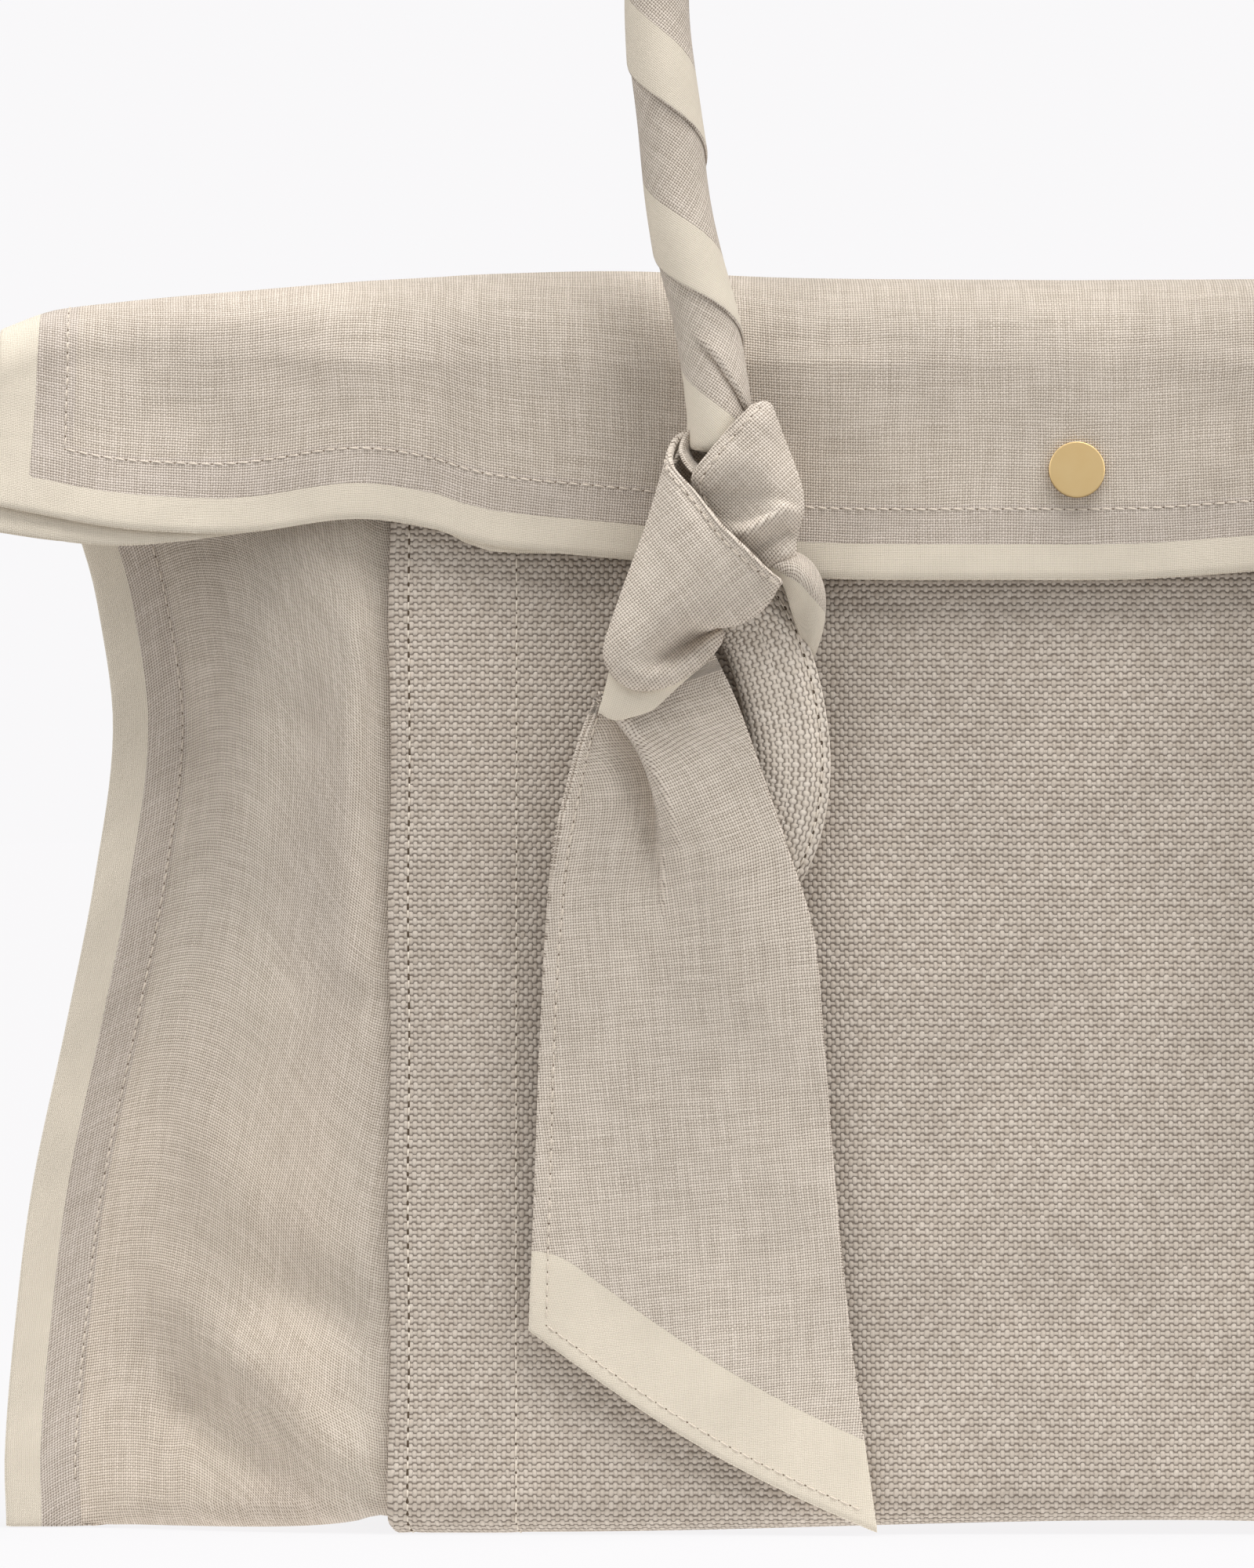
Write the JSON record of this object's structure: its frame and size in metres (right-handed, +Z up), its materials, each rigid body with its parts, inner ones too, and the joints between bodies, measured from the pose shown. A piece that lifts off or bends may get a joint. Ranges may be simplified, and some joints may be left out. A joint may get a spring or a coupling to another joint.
{
  "type": "fold-over handbag with tied scarf handle",
  "caption": "Fold-over linen tote with a heavy canvas body, a flap closed by a press stud and one twisted scarf handle tied in a knot at each side.",
  "frame": {"origin": "middle of the bag's own box on the surface that it stands on", "axes": "+X along the bag's width to the right as seen from the front, +Y from the front to the back, +Z up"},
  "size_m": [0.5764, 0.101, 0.5502],
  "materials": {
    "canvas": "matt heavy canvas in a bead-like basket weave, greige",
    "linen": "matt fine plain-weave linen, greige with a cream border",
    "scarf": "matt fine plain-weave linen, greige with cream stripes at its ends",
    "stud": "satin pale gold"
  },
  "bodies": {
    "root": {"canvas_body": "canvas", "linen_front": "linen", "linen_back": "linen", "scarf_handle": "scarf", "canvas_loop_left": "canvas", "canvas_loop_right": "canvas", "press_stud": "stud"}
  },
  "joints": []
}
